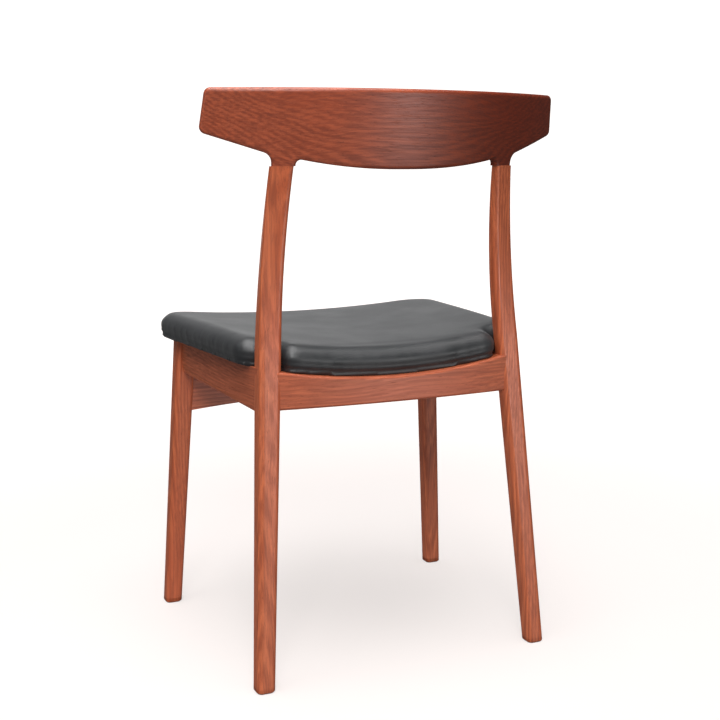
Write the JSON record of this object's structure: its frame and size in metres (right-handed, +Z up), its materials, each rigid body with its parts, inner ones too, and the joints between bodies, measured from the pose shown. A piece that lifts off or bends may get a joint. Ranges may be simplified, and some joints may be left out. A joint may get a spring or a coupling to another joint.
{
  "type": "dining chair",
  "caption": "Wooden dining chair with a bowed backrest, raked legs and a dished seat padded and covered in black leatherette.",
  "frame": {"origin": "on the floor, at the middle of the chair's bounding box", "axes": "+Z up, -Y the way the sitter faces, +X to the sitter's left"},
  "size_m": [0.5156, 0.4307, 0.78],
  "materials": {
    "backrest_wood": "oiled teak, satin",
    "leg_wood": "oiled teak, satin",
    "rail_wood": "oiled teak, satin",
    "block_wood": "plain beech, unfinished",
    "dowel_wood": "plain beech, unfinished",
    "plywood": "birch plywood, unfinished",
    "foam": "cut foam",
    "seat_leatherette": "black leatherette, fine grain, satin",
    "steel": "zinc plated"
  },
  "bodies": {
    "root": {"back_leg_left": "leg_wood", "back_leg_right": "leg_wood", "back_rail": "rail_wood", "back_rail_dowels": "dowel_wood", "backrest": "backrest_wood", "backrest_dowels": "dowel_wood", "corner_block_back_left": "block_wood", "corner_block_back_right": "block_wood", "corner_block_front_left": "block_wood", "corner_block_front_right": "block_wood", "corner_block_screws": "steel", "front_leg_left": "leg_wood", "front_leg_right": "leg_wood", "front_rail": "rail_wood", "front_rail_dowels": "dowel_wood", "seat_board": "plywood", "seat_cover": "seat_leatherette", "seat_foam": "foam", "seat_screws": "steel", "seat_staples": "steel", "side_rail_dowels_left": "dowel_wood", "side_rail_dowels_right": "dowel_wood", "side_rail_left": "rail_wood", "side_rail_right": "rail_wood"}
  },
  "joints": []
}
